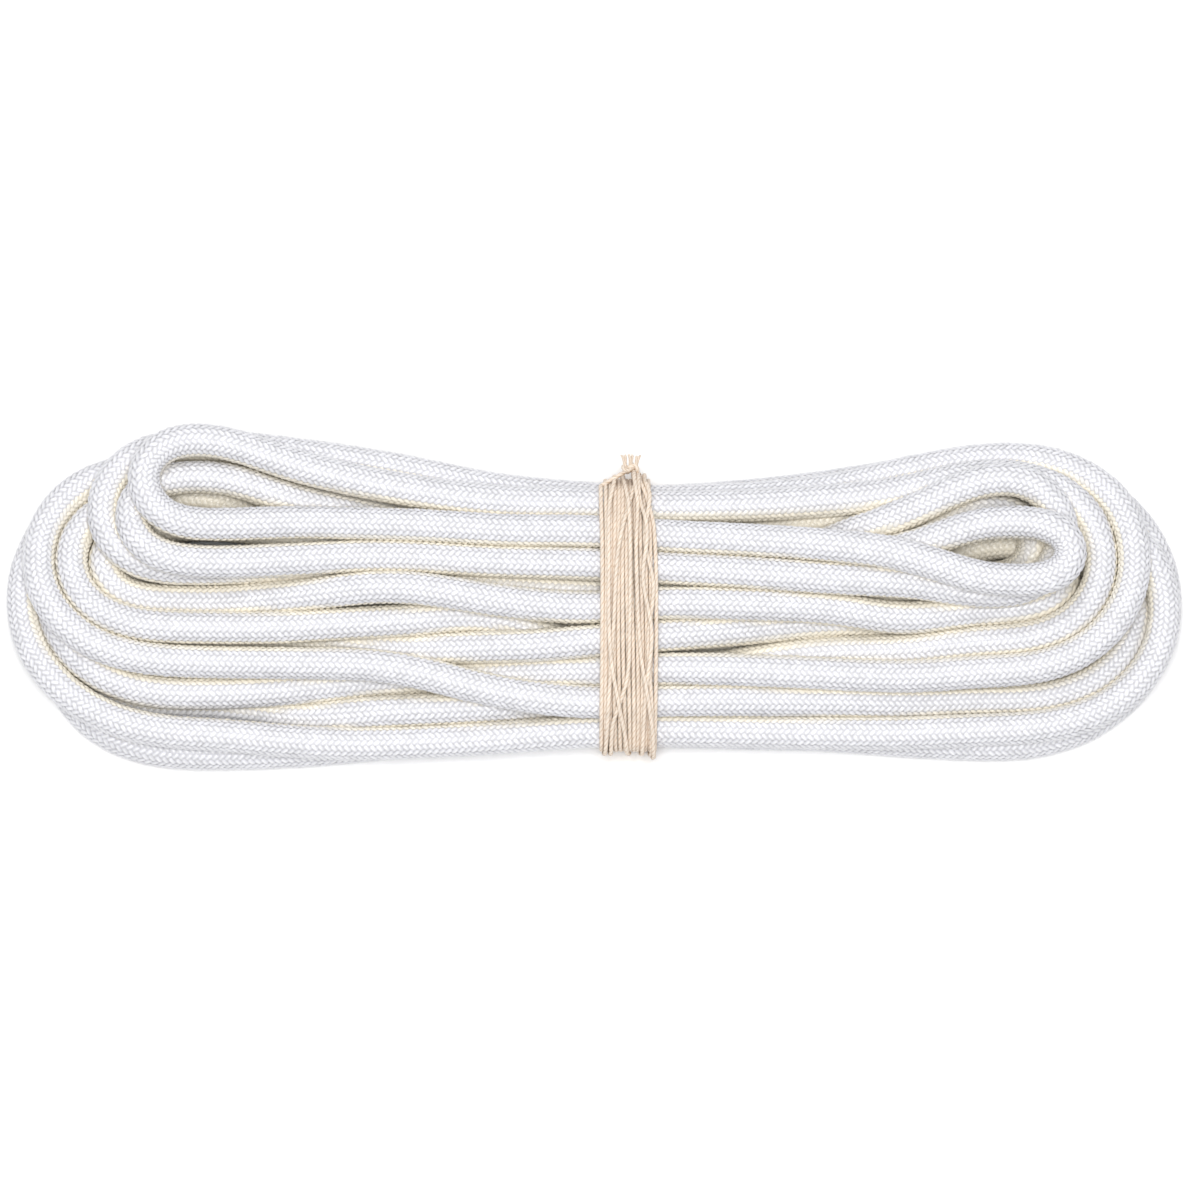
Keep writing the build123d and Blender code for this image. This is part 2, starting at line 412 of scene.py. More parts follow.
def add_uv(mesh, name, at_vertex, corners):
    layer = mesh.uv_layers.new(name=name)
    layer.data.foreach_set("uv", at_vertex[corners].astype(np.float32).ravel())


def add_value(mesh, name, at_vertex):
    layer = mesh.attributes.new(name, "FLOAT", "POINT")
    layer.data.foreach_set("value", np.asarray(at_vertex, np.float32))


def tube_grid(rings, sides, first=0):
    """Faces of a tube of rings, each of sides vertices, with its ends open."""
    r = np.arange(rings - 1)[:, None] * sides
    c = np.arange(sides)[None]
    n = (c + 1) % sides
    return np.stack([r + c, r + n, r + sides + n, r + sides + c], -1).reshape(-1, 4) + first


# ---------------------------------------------------------------- the braided rope

COLUMNS = 16  # columns of floats round the rope, leaning left and right in turn
PITCH = 0.194 * D  # spacing of the picks along the rope
FLOAT_LONG = 0.145 * D  # half the length of a float
FLOAT_WIDE = 0.068 * D  # half its width
FLOAT_HIGH = 0.042 * D
FLOAT_LEAN = 45
LEAN_VARIES, LONG_VARIES, WIDE_VARIES, HIGH_VARIES = 2.5, 0.04, 0.05, 0.12
# a float's outline, then the two ends of its ridge: along, across, raised
FLOAT = np.array([(1, 0, 0), (0.62, 1, 0.15), (-0.62, 1, 0.15), (-1, 0, 0), (-0.62, -1, 0.15),
                  (0.62, -1, 0.15), (0.5, 0, 1), (-0.5, 0, 1)])
FLOAT_FACES = np.array([(6, 1, 2), (6, 2, 7), (7, 4, 5), (7, 5, 6),
                        (6, 0, 1), (6, 5, 0), (7, 3, 4), (7, 2, 3)])
FLOAT_YARN = (0.28, 0.14)  # length and width of a float in the yarn's own co-ordinates
YARN_RANGE = 40  # and how far apart in them two floats can be
CORE_RADIUS = D / 2 - 1.25 * FLOAT_HIGH  # of the plain core under the floats
CORE_STEP = 0.25 * D
CORE_SIDES = 16
# the core takes the darkest painted shade of the braid's colour ramp
CORE_LIFT = -0.6  # how far below the foot of a float the core counts as
ROUTE_STEP = 0.1 * D
TIP_LONG = 0.014  # the sealed length at each end


def braid(line, covered, seed):
    """A braided cover, one rounded float for each pick and column: vertices, triangles and values."""
    rng = np.random.default_rng(seed)
    radius = D / 2
    picks = int(covered / PITCH) - 1
    k, c = np.meshgrid(np.arange(picks), np.arange(COLUMNS), indexing="ij")
    k, c = k.ravel(), c.ravel()
    count = len(k)
    lean = np.where(c % 2 == 0, 1.0, -1.0)
    s0 = (k + 0.75 + 0.5 * (c % 2)) * PITCH
    angle0 = 2 * np.pi * c / COLUMNS
    tilt_by = np.radians(FLOAT_LEAN + rng.normal(0, LEAN_VARIES, count))
    long = FLOAT_LONG * (1 + rng.normal(0, LONG_VARIES, count))
    wide = FLOAT_WIDE * (1 + rng.normal(0, WIDE_VARIES, count))
    high = FLOAT_HIGH * (1 + rng.normal(0, HIGH_VARIES, count))
    a = FLOAT[:, 0][None] * long[:, None]
    b = FLOAT[:, 1][None] * wide[:, None]
    ct, st = np.cos(tilt_by)[:, None], np.sin(tilt_by)[:, None]
    s = s0[:, None] + (a * ct - b * st)
    angle = angle0[:, None] + (a * st + b * ct) * lean[:, None] / radius
    lift = np.broadcast_to(FLOAT[:, 2][None], s.shape)
    r = radius - FLOAT_HIGH + lift * high[:, None]
    verts = line.place(s.ravel(), angle.ravel(), r.ravel())
    faces = np.where((lean > 0)[:, None, None], FLOAT_FACES[None], FLOAT_FACES[:, ::-1][None])
    tris = (faces + (np.arange(count) * len(FLOAT))[:, None, None]).reshape(-1, 3)
    values = {"lift": lift.ravel(), "tone": np.repeat(rng.random(count), len(FLOAT))}
    yarn = np.stack([np.broadcast_to(FLOAT[:, 0], s.shape), np.broadcast_to(FLOAT[:, 1], s.shape)], -1)
    yarn = yarn * FLOAT_YARN / 2 + rng.random((count, 1, 2)) * YARN_RANGE
    # the baking layout: the rope cut into rows that lie over each other, with one more row for the core
    rows = int(round(math.sqrt(line.length / (math.pi * D)))) + 1
    strip = line.length * 1.0001 / rows
    row = np.floor(s0 / strip)[:, None]
    u = 0.003 + 0.994 * (s - row * strip) / strip
    v = (row + 0.04 + 0.92 * (angle / (2 * np.pi) + 0.5 / COLUMNS)) / (rows + 1)
    uv = np.stack([np.clip(u, 0, 1), np.clip(v, 0, 1)], -1)
    return verts, tris, values, yarn.reshape(-1, 2), uv.reshape(-1, 2), rows, s0, angle0


SHELTER_REACH = 4 * D  # other turns further off than this don't shelter a point
OWN_TURN = 1.7 * D  # nor does the rope this near along itself
NEAREST = 0.45 * D


def painted_shade(points, at, line):
    """How much of what each point faces is other turns, above 1 deep between them, which sets the rope's
    painted shade. Its distance is at.
    """
    skip = 4
    other = line.points[::skip].astype(np.float32)
    other_at = line.s[::skip].astype(np.float32)
    size = D * skip * 0.1 * D
    hidden = np.zeros(len(points), np.float32)
    facing = points - line.at(at, line.points)
    facing = (facing / np.linalg.norm(facing, axis=1)[:, None]).astype(np.float32)
    points = points.astype(np.float32)
    for c in range(0, len(points), 1024):
        p, s = points[c:c + 1024], at[c:c + 1024].astype(np.float32)
        square = (p ** 2).sum(1)[:, None] + (other ** 2).sum(1)[None] - 2 * p @ other.T
        square = np.maximum(square, NEAREST ** 2)
        n = facing[c:c + 1024]
        rise = np.maximum(n @ other.T - (p * n).sum(1)[:, None] + 0.1 * D, 0)
        counts = (np.abs(s[:, None] - other_at[None]) > OWN_TURN) & (square < SHELTER_REACH ** 2)
        hidden[c:c + 1024] = (counts * rise / square ** 1.5).sum(1) * size / math.pi
    # painted shade: the rope under the tie gets the fullest amount
    hidden[np.abs(points[:, 0] - TIE_X) < UNDER_TWINE] = 2
    return np.clip(hidden, 0, 2)


def make_rope(line):
    """The rope between its sealed ends, as one piece: the floats over a plain core."""
    verts, tris, values, yarn_uv, bake_uv, rows, s0, angle0 = braid(line, line.length, SEED)
    rings = int(line.length / CORE_STEP)
    core_s = np.repeat(np.linspace(0.0001, line.length - 0.0001, rings), CORE_SIDES)
    core_angle = np.tile(np.arange(CORE_SIDES) * 2 * np.pi / CORE_SIDES, rings)
    core = line.place(core_s, core_angle, np.full(len(core_s), CORE_RADIUS))
    core_v = (rows + 0.1 + 0.8 * core_angle / (2 * np.pi)) / (rows + 1)
    core_uv = np.stack([core_s / line.length, core_v], -1)
    middle = line.place(s0, angle0, np.full(len(s0), D / 2))
    shade = np.repeat(painted_shade(middle, s0, line), len(FLOAT))
    core_shade = painted_shade(core, core_s, line)

    tube = tube_grid(rings, CORE_SIDES, len(verts))
    rope, corners = make_mesh("rope", np.vstack([verts, core]), [tris, tube])
    add_uv(rope.data, "OFBake", np.vstack([bake_uv, core_uv]), corners)
    add_uv(rope.data, "yarn", np.vstack([yarn_uv, core_uv * YARN_RANGE]), corners)
    add_value(rope.data, "lift", np.concatenate([values["lift"], np.full(len(core), CORE_LIFT)]))
    add_value(rope.data, "tone", np.concatenate([values["tone"], np.full(len(core), 0.5)]))
    # the amount of painted shade in crevices between turns and under the tie
    add_value(rope.data, "painted_shade", np.concatenate([shade, core_shade]))

    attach(rope, "root")
    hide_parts("rope_hank")
    return rope


TIP_COVER = 0.0105  # how far the cover goes on into a sealed end
FUSED_FROM, FUSED_OVER = 0.0068, 0.002  # where the melt begins, and how soon it is complete
TIP_ROUND = 0.0042  # length of its round end
TIP_SIDES, TIP_RINGS = 48, 60
LUMPS = ((2, 0.03), (3, 0.025), (5, 0.018), (9, 0.012), (14, 0.008))  # waves round the melt and their height


def sealed_tip(name, points, cad_node, seed):
    """A rope end: the cover runs into a lump that was melted and pressed round. Points run to the end."""
    rng = np.random.default_rng(seed)
    line = Line(points, ROUTE_STEP)
    cover, faces, values, _, cover_uv, rows, _, _ = braid(line, TIP_COVER, seed)
    along = np.linspace(0, line.length, TIP_RINGS)
    left = np.clip((line.length - along) / TIP_ROUND, 0, 1)
    fused = np.clip((along - FUSED_FROM) / FUSED_OVER, 0, 1)
    fused = fused * fused * (3 - 2 * fused)
    radius = (CORE_RADIUS + fused * 1.12 * FLOAT_HIGH) * np.sqrt(1 - (1 - left) ** 2.4)
    angle = np.tile(np.arange(TIP_SIDES) * 2 * np.pi / TIP_SIDES, TIP_RINGS)
    at = np.repeat(along, TIP_SIDES)
    lumps = np.ones(len(at))
    for waves, size in LUMPS:
        lumps += size * np.sin(waves * angle + at * 900 + rng.random() * 6) * np.repeat(fused, TIP_SIDES)
    body = line.place(at, angle, np.repeat(radius, TIP_SIDES) * np.minimum(lumps, 1.03))
    body_uv = np.stack([at / line.length, (rows + 0.1 + 0.8 * angle / (2 * np.pi)) / (rows + 1)], -1)
    tube = tube_grid(TIP_RINGS, TIP_SIDES, len(cover))

    obj, corners = make_mesh(name, np.vstack([cover, body]), [faces, tube])
    add_uv(obj.data, "OFBake", np.vstack([cover_uv, body_uv]), corners)
    add_value(obj.data, "lift", np.concatenate([values["lift"], np.full(len(body), 0.2)]))
    add_value(obj.data, "fused", np.concatenate([np.zeros(len(cover)), np.repeat(fused, TIP_SIDES)]))
    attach(obj, "root")
    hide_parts(cad_node)
    return obj


laid = evenly(route(), STEP)
axis = settle(laid, 600)
whole_line = Line(read_spline(axis * D, "rope_route"), ROUTE_STEP)
tip_points = int(round(TIP_LONG / (whole_line.length / (len(whole_line.points) - 1))))
rope_line = Line(whole_line.points[tip_points:-tip_points], ROUTE_STEP)
rope = make_rope(rope_line)
tip_start = sealed_tip("sealed_tip_start", whole_line.points[:tip_points + 1][::-1], "rope_tip_start", 21)
tip_end = sealed_tip("sealed_tip_end", whole_line.points[-tip_points - 1:], "rope_tip_end", 22)
print("rope length", round(rope_line.length, 4))

# ---------------------------------------------------------------- the tie's route

TURN_POINTS = 200  # points of the twine's route in each turn
KNOT = Vector((0.010, 0.0361, 0.023))
TIE_HALF = 0.009  # the rope this far to each side of the tie's middle carries the twine
FAR_SHOULDER = 0.02  # the knot is further than this across the hank
TWINE_OUT = 0.45 * TWINE  # how far out of the rope the first turns lie
MM = 0.001


def hull(dots):
    """The convex outline of dots, counter-clockwise."""
    dots = dots[np.lexsort((dots[:, 1], dots[:, 0]))]
    chain = []
    for in_order in (dots, dots[::-1]):
        half = []
        for p in in_order:
            while len(half) > 1:
                a, b = half[-2], half[-1]
                if (b[0] - a[0]) * (p[1] - a[1]) - (b[1] - a[1]) * (p[0] - a[0]) > 0:
                    break
                half.pop()
            half.append(p)
        chain += half[:-1]
    return np.array(chain)


def round_waist():
    """The outline in (y, z) that the first turns follow from the knot's place, and the way out of it."""
    near = rope_line.points[np.abs(rope_line.points[:, 0] - TIE_X) < TIE_HALF]
    turn = np.linspace(0, 2 * np.pi, 24, endpoint=False)
    ring = np.column_stack([np.cos(turn), np.sin(turn)]) * (D / 2 + TWINE_OUT)
    outline = hull((near[::3, None, 1:] + ring[None]).reshape(-1, 2))
    far_side = np.where(outline[:, 0] > FAR_SHOULDER, np.abs(outline[:, 1] - KNOT.z), 9)
    outline = np.roll(outline, -int(np.argmin(far_side)), axis=0)
    outline = np.vstack([outline, outline[:1]])
    at = np.concatenate([[0], np.cumsum(np.linalg.norm(np.diff(outline, axis=0), axis=1))])
    u = np.arange(TURN_POINTS) / TURN_POINTS * at[-1]
    place = np.column_stack([np.interp(u, at, outline[:, k]) for k in range(2)])
    ahead = np.roll(place, -2, axis=0) - np.roll(place, 2, axis=0)
    out = np.column_stack([ahead[:, 1], -ahead[:, 0]])
    return place, out / np.linalg.norm(out, axis=1)[:, None]


waist, waist_out = round_waist()
on_top = np.where(waist_out[:, 1] > 0.5)[0]


def top(y):
    """The part of a turn gone by where the twine crosses the top at y, in millimetres."""
    return on_top[np.argmin(np.abs(waist[on_top, 0] - y / 1000))] / TURN_POINTS


FLAT_TURNS = 12
FLAT_AT = (0, 0.12, 0.25, 0.37, 0.5, 0.75)  # the parts of a flat turn at which its place is set
FLAT_FROM, FLAT_STEP = -7.4, 1.235  # where the flat turns begin across the tie and how far apart they lie
NEAR_SIDE, UNDER = top(-60) + 0.07, 0.72
# the turns laid across the first ones: where each crosses, in millimetres from the tie's middle
CROSSING = [
    ((0, 3.8), (top(26), 5.6), (top(17), 7.6), (top(-4), 8.2), (top(-38), 7.9), (NEAR_SIDE, 7.6),
     (UNDER, 6.0)),
    ((0, 5.0), (top(26), 6.4), (top(14), 5.0), (top(1), 7.4), (top(-14), 5.9), (top(-36), 7.0),
     (UNDER, 5.0)),
    ((0, 2.6), (top(24), 0.6), (top(11), -2.5), (top(-10), -3.8), (top(-38), -5.6), (NEAR_SIDE, -6.4),
     (UNDER, -2.0)),
    ((0, -0.8), (top(24), 0.4), (top(11), 0.9), (top(-12), 0.7), (top(-25), 0.0), (top(-38), -4.2),
     (UNDER, -4.2)),
    ((0, -3.5), (top(24), -4.9), (top(11), -5.1), (top(-18), -4.6), (top(-40), -0.4), (NEAR_SIDE, 0.6),
     (UNDER, 1.5)),
    ((0, 3.2), (top(26), 3.6), (top(16), 5.6), (top(3), 4.5), (top(-12), 6.9), (top(-30), 5.2),
     (NEAR_SIDE, 4.0), (UNDER, 3.5)),
    ((0, 2.0), (top(24), 3.0), (top(11), 2.6), (top(-17), 3.8), (top(-38), 7.2), (NEAR_SIDE, 7.4),
     (UNDER, 4.5)),
]
TIE_ENDS_AT = 1.0
TWINE_STEP = 0.0005


def across_tie():
    """Where the twine lies across the tie, in metres from its middle, one row for each turn."""
    keys = [(k + part, FLAT_FROM + FLAT_STEP * (k + part) + 0.3 * math.sin(11 * part + 0.55 * k))
            for k in range(FLAT_TURNS) for part in FLAT_AT][:-1]
    for k, crossing in enumerate(CROSSING):
        keys += [(FLAT_TURNS + k + part, x) for part, x in crossing]
    turns = FLAT_TURNS + len(CROSSING)
    keys.append((turns, TIE_ENDS_AT))
    key_at, key_x = np.array(keys).T
    phase = np.arange(turns * TURN_POINTS) / TURN_POINTS
    return (through(key_x, key_at, phase) * MM).reshape(turns, TURN_POINTS)


def stacked(across):
    """How high each point of the twine rides on the turns below it."""
    height = np.zeros_like(across)
    reach = 0.95 * TWINE
    for k in range(1, len(across)):
        apart = np.abs(across[k] - across[:k])
        on = np.where(apart < reach, height[:k] + np.sqrt(np.maximum(reach ** 2 - apart ** 2, 0)), 0)
        on = np.where((height[:k] == 0) & (apart > 0.8 * TWINE) & (k < FLAT_TURNS), 0, on)
        high = on.max(0)
        height[k] = np.maximum(np.maximum(np.roll(high, 1), np.roll(high, -1)), high)
    spread = np.exp(-0.5 * (np.arange(-5, 6) / 2.0) ** 2)
    return blur(height.ravel(), spread / spread.sum())


across = across_tie()
station = np.tile(np.arange(TURN_POINTS), len(across))
place = waist[station] + waist_out[station] * stacked(across)[:, None]
place[:, 1] = np.maximum(place[:, 1], 0.51 * TWINE)
wound = np.column_stack([TIE_X + across.ravel(), place])
wound_at = np.concatenate([[0], np.cumsum(np.linalg.norm(np.diff(wound, axis=0), axis=1))])
ends = np.array([KNOT])
twine_line = Line(read_spline(np.vstack([ends, wound, ends]), "twine_route"), TWINE_STEP)
out_3d = np.column_stack([np.zeros(TURN_POINTS), waist_out])
TO_FIRST_TURN = 0.003  # twine between the knot and the first turn


def outward(at):
    """The way out of the tie at each distance along the twine."""
    index = np.clip(np.searchsorted(wound_at, at - TO_FIRST_TURN), 0, len(wound) - 1) % TURN_POINTS
    return out_3d[index]


# ---------------------------------------------------------------- the twine

LAY = 0.0052  # length in which a ply goes once round
RING_STEP = 0.00052  # spacing of the rings of its mesh
TWINE_SIDES = 12
GROOVE_RADIUS, PLY_HIGH = 0.82, 0.18  # the radius between plies and what a ply adds, as parts of the whole
KNOT_WIDE, KNOT_DEEP, KNOT_HIGH = 0.00074, 0.00075, 0.0006
KNOT_STEP = 0.0003
# the strands that a cut end opens into
FRAY_RADIUS, FRAY_LAY = 0.00024, 0.002
FRAY_STRANDS, FRAY_POINTS = 9, 16
FRAY_STEP = 0.0002
TAIL_IN = 0.0012  # how far before its solid a cut end begins
TAIL_LONG = 0.65  # its length beyond that, as a part of its solid's
TAIL_APART = 0.0056  # how far apart along the hank two cut ends begin that are spread by 80 degrees
TAIL_SPREAD, TAIL_LEAN = 0.42, 3  # the part of its spread that a cut end is turned by, less this lean
TAIL_RISE = 0.36


def twisted(line, radius, lay, start):
    """A tube with the three plies of a twisted yarn: vertices, height above its grooves and yarn places."""
    rings = max(int(line.length / RING_STEP), 4)
    at = np.repeat(np.linspace(0, line.length, rings), TWINE_SIDES)
    angle = np.tile(np.arange(TWINE_SIDES) * 2 * np.pi / TWINE_SIDES, rings)
    lobe = np.abs(np.cos(1.5 * (angle - 2 * np.pi * at / lay + start))) ** 0.7
    verts = line.place(at, angle, radius * (GROOVE_RADIUS + PLY_HIGH * lobe))
    yarn = np.stack([at, (angle / (2 * np.pi) - at / lay) * math.pi * 2 * radius], -1)
    return verts, rings, lobe, yarn, at, angle


def twine_piece(name, lines, radius, lay, cad_nodes, facing=None):
    """Twisted tubes as one piece, with a baking layout of strips."""
    all_verts, faces, lobes, yarns, bakes, outs = [], [], [], [], [], []
    first = 0
    total = sum(line.length for line in lines)
    rows = max(int(round(math.sqrt(total / (2 * math.pi * radius)))), 1)
    strip = total * 1.002 / rows
    gone = 0.0
    for number, line in enumerate(lines):
        verts, rings, lobe, yarn, at, angle = twisted(line, radius, lay, 1.7 * number)
        all_verts.append(verts)
        lobes.append(lobe)
        yarns.append(yarn)
        place_at = gone + at
        row = np.minimum(np.floor(place_at / strip), rows - 1)
        u = np.clip((place_at - row * strip) / strip, 0, 1)
        bakes.append(np.stack([u, (row + 0.05 + 0.85 * angle / (2 * np.pi)) / rows], -1))
        # how far each point faces out of the tie, which sets the twine's painted shade
        if facing is None:
            outs.append(np.full(len(at), 0.6))
        else:
            outs.append(((verts - line.at(at, line.points)) * facing(at)).sum(1) / radius)
        cap = first + np.arange(TWINE_SIDES)
        last_cap = cap + (rings - 1) * TWINE_SIDES
        faces += [tube_grid(rings, TWINE_SIDES, first), cap[::-1][None], last_cap[None]]
        first += len(verts)
        gone += line.length
    obj, corners = make_mesh(name, np.vstack(all_verts), faces)
    add_uv(obj.data, "OFBake", np.vstack(bakes), corners)
    add_uv(obj.data, "yarn", np.vstack(yarns) / 0.01, corners)
    add_value(obj.data, "lobe", np.concatenate(lobes))
    add_value(obj.data, "open_side", np.concatenate(outs))
    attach(obj, "root")
    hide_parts(*cad_nodes)
    return obj


def knot_line():
    """The knot's route, a small trefoil."""
    t = np.linspace(0, 2 * np.pi, 90)[:-3]
    trefoil = np.column_stack([(np.sin(t) + 2 * np.sin(2 * t)) * KNOT_WIDE, -np.sin(3 * t) * KNOT_DEEP,
                               (np.cos(t) - 2 * np.cos(2 * t)) * KNOT_HIGH])
    return Line(read_spline(trefoil + np.array(KNOT), "knot_route"), KNOT_STEP)


def tail(number, spread):
    """A cut end of the twine, its three plies opening out towards the cut. Spread is in degrees."""
    rng = np.random.default_rng(60 + number)
    low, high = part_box(f"tie_tail_{number}")
    start = np.array([KNOT.x + TAIL_APART * spread / 80, low.y - TAIL_IN, KNOT.z])
    long = TAIL_LONG * (high.y - low.y) + TAIL_IN
    side = math.sin(math.radians(TAIL_SPREAD * spread - TAIL_LEAN))
    u = np.linspace(0, 1, FRAY_POINTS)
    middle = np.column_stack([side * long * u ** 1.7, long * u, TAIL_RISE * long * u ** 2])
    lines = []
    for strand in range(FRAY_STRANDS):
        ply, member = strand // 3, strand % 3
        wide = 0.00027 + 0.00075 * np.clip(u - 0.35, 0, 1) ** 1.3
        turn = 2 * np.pi * (u * long / LAY * (1 - 0.5 * u) + ply / 3)
        thin = 0.00007 + 0.00055 * np.clip(u - 0.55, 0, 1) ** 1.2 * rng.uniform(0.6, 1.5)
        own = 2 * np.pi * member / 3 + rng.uniform(-0.5, 0.5) + 2.2 * u
        offset = np.column_stack([wide * np.cos(turn) + thin * np.cos(own), np.zeros(FRAY_POINTS),
                                  wide * np.sin(turn) + thin * np.sin(own)])
        points = start + middle + offset
        keep = int(FRAY_POINTS * rng.uniform(0.8, 1.0))
        lines.append(Line(read_spline(points[:keep], "tail_route"), FRAY_STEP))
    return twine_piece(f"tie_tail_{number}_frayed", lines, FRAY_RADIUS, FRAY_LAY, [f"tie_tail_{number}"])


tie = twine_piece("tie_twine", [twine_line], TWINE / 2, LAY, ["tie_band"], outward)
knot = twine_piece("tie_knot_wound", [knot_line()], TWINE / 2, LAY, ["tie_knot"])
tails = [tail(number, spread) for number, spread in ((1, -20), (2, 2), (3, 24))]
print("twine length", round(twine_line.length, 4))


# ---------------------------------------------------------------- materials


class Skin:
    """A material, with the nodes that feed its shader."""

    def __init__(self, name, rough):
        self.material = bpy.data.materials.new(name)
        self.material.use_nodes = True
        self.nodes, self.links = self.material.node_tree.nodes, self.material.node_tree.links
        self.shader = self.nodes["Principled BSDF"]
        self.shader.inputs["Roughness"].default_value = rough

    def node(self, kind, **settings):
        """A new node. A setting is one of its inputs, or else one of its properties."""
        n = self.nodes.new(kind)
        for key, value in settings.items():
            if key in n.inputs:
                n.inputs[key].default_value = value
            else:
                setattr(n, key, value)
        return n

    def attribute(self, name):
        return self.node("ShaderNodeAttribute", attribute_name=name).outputs["Fac"]

    def yarn(self):
        return self.node("ShaderNodeUVMap", uv_map="yarn").outputs["UV"]

    def ramp(self, source, *stops):
        """Colours at places from 0 to 1, picked by source."""
        n = self.nodes.new("ShaderNodeValToRGB")
        elements = n.color_ramp.elements
        for element, (place, colour) in ((elements[0], stops[0]), (elements[1], stops[-1])):
            element.position = place
            element.color = (*colour, 1)
        for place, colour in stops[1:-1]:
            elements.new(place).color = (*colour, 1)
        self.links.new(source, n.inputs["Fac"])
        return n.outputs["Color"]

    def remap(self, source, low, high, to_low=0.0, to_high=1.0):
        """What source says between low and high, as a value between to_low and to_high."""
        n = self.node("ShaderNodeMapRange")
        for key, value in (("From Min", low), ("From Max", high), ("To Min", to_low), ("To Max", to_high)):
            n.inputs[key].default_value = value
        self.links.new(source, n.inputs["Value"])
        return n.outputs["Result"]

    def multiply(self, first, second):
        n = self.node("ShaderNodeMath", operation="MULTIPLY")
        self.links.new(first, n.inputs[0])
        self.links.new(second, n.inputs[1])
        return n.outputs[0]

    def blend(self, factor, colour):
        """A mix of colour and a second one by factor: the input for the second one, and the result."""
        n = self.node("ShaderNodeMix", data_type="RGBA")
        self.links.new(factor, n.inputs["Factor"])
        self.links.new(colour, n.inputs[6])
        return n.inputs[7], n.outputs[2]

    def noise(self, place, scale, detail):
        n = self.node("ShaderNodeTexNoise", Scale=scale, Detail=detail)
        self.links.new(place, n.inputs["Vector"])
        return n.outputs["Fac"]

    def fibres(self, along, across, detail):
        """Noise drawn out along the yarn."""
        n = self.nodes.new("ShaderNodeMapping")
        n.inputs["Scale"].default_value = (along, across, 1.0)
        self.links.new(self.yarn(), n.inputs["Vector"])
        return self.noise(n.outputs["Vector"], 1.0, detail)

    def shaded(self, colour, factor):
        """The shader's colour is colour times factor."""
        n = self.node("ShaderNodeVectorMath", operation="SCALE")
        self.links.new(colour, n.inputs["Vector"])
        self.links.new(factor, n.inputs["Scale"])
        self.links.new(n.outputs["Vector"], self.shader.inputs["Base Color"])

    def bump(self, height, strength, distance):
        n = self.node("ShaderNodeBump", Strength=strength, Distance=distance)
        self.links.new(height, n.inputs["Height"])
        self.links.new(n.outputs["Normal"], self.shader.inputs["Normal"])


def polyester_braid():
    """White polyester with painted light: painted shade greyer low down in the braid, a painted highlight on
    each float's ridge, and warmer painted shade where other turns lie close round it or the tie covers it.
    """
    skin = Skin("white_polyester_braid", 0.3)
    skin.shader.inputs["Specular IOR Level"].default_value = 0.75
    # painted shade and highlight: the colour goes from grey on the core and low in the braid to near white on
    # each float's ridge
    cover = skin.ramp(skin.remap(skin.attribute("lift"), CORE_LIFT, 1.0),
                      (0.0, (0.68, 0.675, 0.69)), (0.45, (0.71, 0.71, 0.755)),
                      (0.72, (0.77, 0.77, 0.81)), (1.0, (0.93, 0.93, 0.94)))
    # painted shade in a warm tint where other turns lie close round the rope and under the tie
    warm_shade, mixed = skin.blend(skin.remap(skin.attribute("painted_shade"), 1.05, 1.6), cover)
    warm_shade.default_value = (0.965, 0.91, 0.79, 1)
    filament = skin.fibres(3.0, 60.0, 3.0)
    tone = skin.remap(skin.attribute("tone"), 0.0, 1.0, 0.93, 1.04)
    streak = skin.remap(filament, 0.3, 0.7, 0.93, 1.03)
    skin.shaded(mixed, skin.multiply(tone, streak))
    skin.bump(filament, 0.35, 0.0002)
    return skin.material


def cotton_twine():
    """Cream cotton with painted shade: browner between the plies and where it faces into the tie, with fine
    fibres.
    """
    skin = Skin("cotton_twine", 0.85)
    # painted shade: darker between the plies and on the side that faces into the tie
    open_side = skin.remap(skin.attribute("open_side"), -0.5, 0.7, 0.25, 1.0)
    cotton = skin.ramp(skin.multiply(skin.attribute("lobe"), open_side),
                       (0.05, (0.53, 0.36, 0.23)), (0.4, (0.78, 0.64, 0.50)), (0.8, (0.89, 0.78, 0.67)))
    fibres = skin.fibres(6.0, 90.0, 4.0)
    fleck = skin.remap(fibres, 0.3, 0.7, 0.8, 1.08)
    patch = skin.remap(skin.noise(skin.yarn(), 2.5, 2.0), 0.3, 0.7, 0.9, 1.06)
    skin.shaded(cotton, skin.multiply(fleck, patch))
    skin.bump(fibres, 0.5, 0.00015)
    return skin.material


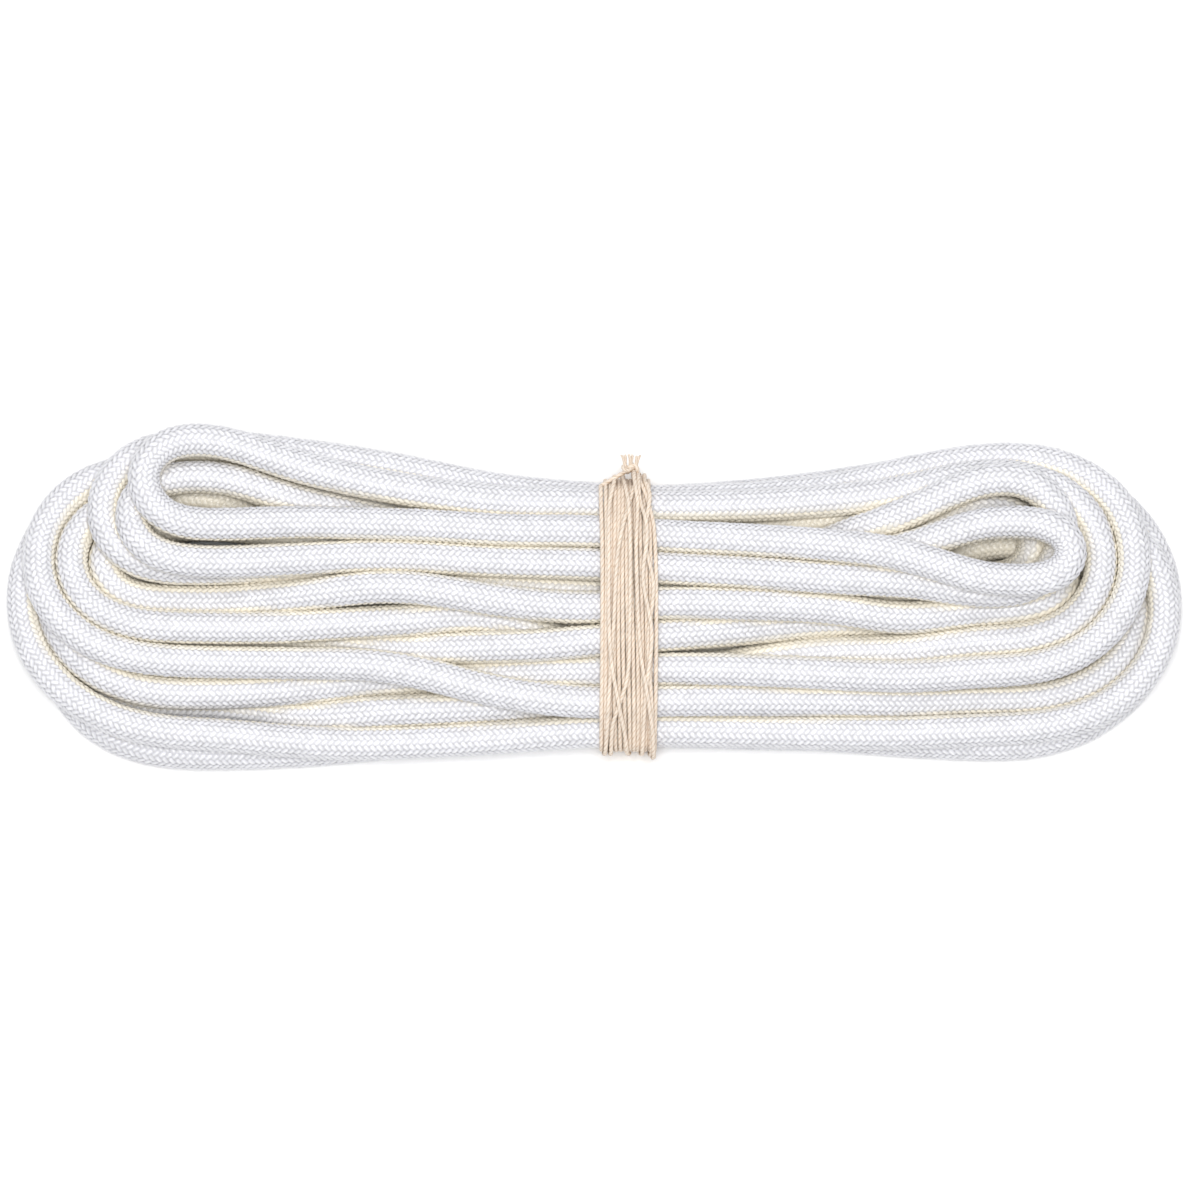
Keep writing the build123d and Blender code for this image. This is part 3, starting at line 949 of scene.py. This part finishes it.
def fused_polyester():
    """The melted ends: the cover's white, with painted shade low down in its braid, runs into a harder,
    slightly browned gloss.
    """
    skin = Skin("fused_polyester", 0.35)
    # painted shade: darker low down in the cover's braid
    cover = skin.ramp(skin.attribute("lift"), (0.0, (0.50, 0.48, 0.44)), (1.0, (0.90, 0.90, 0.89)))
    scorch = skin.noise(skin.node("ShaderNodeTexCoord").outputs["Object"], 420.0, 5.0)
    melt = skin.ramp(scorch, (0.35, (0.52, 0.44, 0.33)), (0.65, (0.80, 0.77, 0.70)))
    second, mixed = skin.blend(skin.attribute("fused"), cover)
    skin.links.new(melt, second)
    skin.links.new(mixed, skin.shader.inputs["Base Color"])
    skin.bump(scorch, 0.4, 0.0002)
    return skin.material


rope.data.materials.append(polyester_braid())
twine_skin = cotton_twine()
for piece in [tie, knot] + tails:
    piece.data.materials.append(twine_skin)
tip_skin = fused_polyester()
for piece in (tip_start, tip_end):
    piece.data.materials.append(tip_skin)

# ---------------------------------------------------------------- floor and light

floor = bpy.data.objects.new("floor", bpy.data.meshes.new("floor"))
floor.data.from_pydata([(-3, -3, 0), (3, -3, 0), (3, 3, 0), (-3, 3, 0)], [], [(0, 1, 2, 3)])
bpy.context.scene.collection.objects.link(floor)
sweep = Skin("white_sweep", 0.9)
sweep.shader.inputs["Base Color"].default_value = (0.98, 0.98, 0.98, 1)
floor.data.materials.append(sweep.material)

world = bpy.data.worlds.new("studio")
bpy.context.scene.world = world
world.use_nodes = True
world.node_tree.nodes["Background"].inputs["Color"].default_value = (1, 1, 1, 1)
world.node_tree.nodes["Background"].inputs["Strength"].default_value = 0.54
bpy.context.scene.view_settings.view_transform = "Standard"


def area_light(name, place, size, energy):
    """A soft square light that points at the middle of the hank."""
    lamp = bpy.data.objects.new(name, bpy.data.lights.new(name, "AREA"))
    lamp.data.size = size
    lamp.data.energy = energy
    lamp.location = place
    lamp.rotation_mode = "QUATERNION"
    lamp.rotation_quaternion = (AIM - Vector(place)).to_track_quat("-Z", "Y")
    bpy.context.scene.collection.objects.link(lamp)


area_light("key", (0, -0.35, 2.3), 0.8, 35)
area_light("far", (-0.15, 0.9, 1.5), 0.5, 5)
